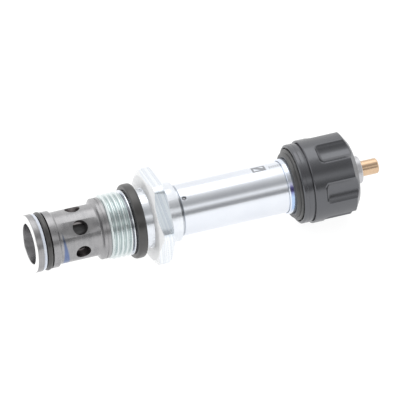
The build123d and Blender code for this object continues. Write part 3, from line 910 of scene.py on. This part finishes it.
# %% Nylon
def grip_plastic():
    """Satin glass-filled nylon with a spark-eroded grain."""
    paint = Paint("grip_plastic", IOR=2.25, Specular_Tint=(0.92, 0.94, 1.0, 1.0))
    grain = paint.noise(0.22, detail=4.0, roughness=0.7)
    flow = paint.noise(9.0, detail=3.0)
    paint.feed("Base Color", paint.ramp(flow, [(0.3, (0.003, 0.003, 0.004)), (0.7, (0.007, 0.007, 0.009))]))
    paint.feed("Roughness", (flow - 0.5) * 0.10 + 0.25)
    paint.bump(grain, 0.008)
    return paint.material


nylon = grip_plastic()

# %% Grip section
SHELL_X = span("coil_nut")
SHELL_RADIUS = 17.25
SHELL_CORNER = 0.35
SPLIT_GAP = 0.4
SPLIT_RADIUS = 16.0
SLEEVE_RADIUS = 12.8
SLEEVE_END = 80.0
THREAD_BORE = 9.5
REAR_WALL_X = 84.8
REAR_BORE = 8.65
CHAMFER_X = 85.6
END_RADIUS = 13.5
ROWS = 56

grip_start = SHELL_X[0] + SPLIT_GAP


def grip_radius(x):
    """Radius of the grip before its flutes, from the split line to the rear face."""
    corner = grip_start + SHELL_CORNER
    if x < corner:
        return SHELL_RADIUS - SHELL_CORNER + math.sqrt(max(0.0, SHELL_CORNER**2 - (corner - x) ** 2))
    if x > CHAMFER_X:
        return SHELL_RADIUS - (SHELL_RADIUS - END_RADIUS) * (x - CHAMFER_X) / (SHELL_X[1] - CHAMFER_X)
    return SHELL_RADIUS


grip_x = [grip_start + (SHELL_X[1] - grip_start) * k / ROWS for k in range(ROWS + 1)]
grip = lathe(
    "fluted_grip",
    [(SHELL_X[0], SLEEVE_RADIUS), (SHELL_X[0], SPLIT_RADIUS), (grip_start, SPLIT_RADIUS)]
    + [(x, grip_radius(x)) for x in grip_x]
    + [
        (SHELL_X[1], REAR_BORE),
        (REAR_WALL_X, REAR_BORE),
        (REAR_WALL_X, THREAD_BORE),
        (SLEEVE_END, THREAD_BORE),
        (SLEEVE_END, SLEEVE_RADIUS),
    ],
    steps=240,
)

# %% Draw in the flutes
LOBES = 6
FIRST_RIB = math.radians(34.9)
FLUTE_START = 72.6
FLUTE_NOSE = 2.0
FLUTE_DEPTH = 2.2
FLUTE_RADIUS = 7.5
EDGE_ROUND = 0.35
OUTER_POINTS = 13.0


def smooth_min(a, b, width):
    """The smaller of two lengths, with the step between them rounded over a width."""
    share = max(0.0, min(1.0, 0.5 + 0.5 * (b - a) / width))
    return b + (a - b) * share - width * share * (1 - share)


def flute_radius(x, angle):
    """Radius that the scooping tool leaves at an angle from a flute's middle, or None where it misses."""
    centre = SHELL_RADIUS - FLUTE_DEPTH + FLUTE_RADIUS
    tool = FLUTE_RADIUS
    if x < FLUTE_START:
        return None
    if x < FLUTE_START + FLUTE_NOSE:
        tool += math.sqrt(max(0.0, FLUTE_NOSE**2 - (FLUTE_START + FLUTE_NOSE - x) ** 2)) - FLUTE_NOSE
    across = centre * math.sin(angle)
    if abs(across) >= tool:
        return None
    return centre * math.cos(angle) - math.sqrt(tool**2 - across**2)


for point in grip.data.vertices:
    x = point.co.x / MM
    r = math.hypot(point.co.y, point.co.z) / MM
    if x > grip_start - 0.01 and r > OUTER_POINTS:
        around = math.atan2(point.co.z, -point.co.y) - FIRST_RIB
        off = (around / math.tau * LOBES) % 1.0 - 0.5
        scooped = flute_radius(x, off * math.tau / LOBES)
        if scooped is not None:
            drawn = smooth_min(r, scooped, EDGE_ROUND)
            point.co.y *= drawn / r
            point.co.z *= drawn / r
smooth(grip)
place(grip, "coil_nut", "black_plastic", nylon, "coil_nut")

# %% Front ring
RING_X = span("nut_front_ring")
RING_RADIUS = radius("nut_front_ring")
RING_BORE = 11.6
RING_FACE_RADIUS = 15.4
SEAL_RECESS = 1.1
SCRIBED_X = 65.2

thrust_ring = lathe(
    "thrust_ring",
    [
        (RING_X[0] + SEAL_RECESS, RING_BORE),
        (RING_X[0] + SEAL_RECESS, RING_FACE_RADIUS),
        (RING_X[0], RING_FACE_RADIUS),
        (RING_X[0], RING_FACE_RADIUS + 0.5),
        (RING_X[0] + 0.5, RING_RADIUS),
        (SCRIBED_X, RING_RADIUS),
        (SCRIBED_X + 0.1, RING_RADIUS - 0.12),
        (SCRIBED_X + 0.2, RING_RADIUS),
        (RING_X[1], RING_RADIUS),
        (RING_X[1], RING_BORE),
    ],
)
break_edges(thrust_ring, 0.12)
place(thrust_ring, "nut_thrust_ring", "black_plastic", nylon, "nut_front_ring")

# %% Front seal
SEAL_X = span("nut_front_seal")
SEAL_BORE = 11.7
FLANGE_RADIUS = 14.9
# The lip, the sleeve and the flange, as (distance from the seal's front, radius)
SEAL_STEPS = [(0.9, SEAL_BORE), (0.5, 12.9), (0.9, 13.5), (2.0, 13.5), (2.0, 14.6), (2.4, FLANGE_RADIUS)]

front_seal = lathe(
    "front_seal",
    [(SEAL_X[0] + along, r) for along, r in SEAL_STEPS]
    + [(SEAL_X[1], FLANGE_RADIUS), (SEAL_X[1], SEAL_BORE)],
)
break_edges(front_seal, 0.12)
front_rubber = rubber("front_rubber", (0.020, 0.020, 0.020), 0.42)
place(front_seal, "nut_thrust_ring", "seal_rubber", front_rubber, "nut_front_seal")

# %% [markdown]
# ## Springs
# A spring shortens when the valve works. Its wire is a circle swept along a helix by a Screw modifier.

# %% Springs
WIRE_POINTS = 16
STEPS_PER_TURN = 36


def spring(name, node, coil_radius, wire_radius, pitch):
    """A round-wire spring that fills its CAD node's length."""
    start, end = span(node)
    travel = end - start - 2 * wire_radius
    turns = travel / pitch
    bpy.ops.object.select_all(action="DESELECT")
    bpy.ops.mesh.primitive_circle_add(
        vertices=WIRE_POINTS, radius=wire_radius * MM,
        location=((start + wire_radius) * MM, 0, coil_radius * MM), rotation=(math.pi / 2, 0, 0),
    )
    coil = join([bpy.context.object])
    coil.name = coil.data.name = name
    steps = round(STEPS_PER_TURN * turns)
    apply(
        coil, "SCREW", axis="X", angle=math.tau * turns, screw_offset=travel * MM, steps=steps,
        render_steps=steps,
    )
    bpy.ops.object.mode_set(mode="EDIT")
    bpy.ops.mesh.select_all(action="SELECT")
    bpy.ops.mesh.fill_holes(sides=0)
    bpy.ops.mesh.select_all(action="SELECT")
    bpy.ops.mesh.normals_make_consistent(inside=False)
    bpy.ops.object.mode_set(mode="OBJECT")
    smooth(coil)
    coil.data.materials.append(spring_wire)
    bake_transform(coil)
    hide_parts(node)
    print(name, round(turns, 1), "turns")


spring("return_coil", "spool_spring", coil_radius=4.5, wire_radius=0.6, pitch=2.0)
spring(
    "override_coil", "override_spring", coil_radius=3.2, wire_radius=0.35, pitch=1.5
)

# %% [markdown]
# ## Parts that keep their CAD shape
# The rest have the right shape already. They only need a finish, which goes on their material slot. The
# nut's metal insert has a blue passivate, which is deepest on its near side.

# %% Blue passivated insert
BLUE_X = (58.9, 60.9)
BLUE_ANGLES = (-40.0, 38.0)


def blue_zinc():
    """Zinc with a blue passivate, deepest on the near side."""
    paint = Paint("blue_zinc", Metallic=1.0)
    x, y, z = paint.axes()
    angle = round_angle(paint, y, z)
    deep = window(angle, *BLUE_ANGLES, 14.0) * window(x, *BLUE_X, 0.5)
    blue = paint.mix(((angle - 4.0) / 14.0).clamped(), (0.42, 0.58, 0.85), (0.10, 0.08, 0.36))
    patches = paint.noise(1.5, detail=3.0)
    plate = paint.ramp(patches, [(0.3, (0.72, 0.78, 0.90)), (0.7, (0.86, 0.90, 0.96))])
    paint.feed("Base Color", paint.mix(deep * 0.9, plate, blue))
    paint.feed("Roughness", (patches - 0.5) * 0.1 + 0.2)
    return paint.material


# %% Finishes for the CAD parts
CAD_FINISHES = {
    "spool": ground_steel, "push_rod": bright_rod, "stake_ball": bright_rod,
    "pole_core": soft_iron, "armature": soft_iron, "tube_plug": soft_iron, "spring_shim": soft_iron,
    "rod_bush": bronze, "anti_stick_washer": bronze, "rear_washer": bronze,
    "core_o_ring": seal_rubber, "plug_o_ring": seal_rubber, "nut_rear_seal": seal_rubber,
    "override_o_ring": seal_rubber,
    "nut_insert": blue_zinc(), "override_bushing": disc_steel, "override_pin": pin_brass,
}
for node, finish in CAD_FINISHES.items():
    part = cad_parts[node]
    part.data.materials.clear()
    part.data.materials.append(finish)
print(len(CAD_FINISHES), "CAD parts keep their shape")
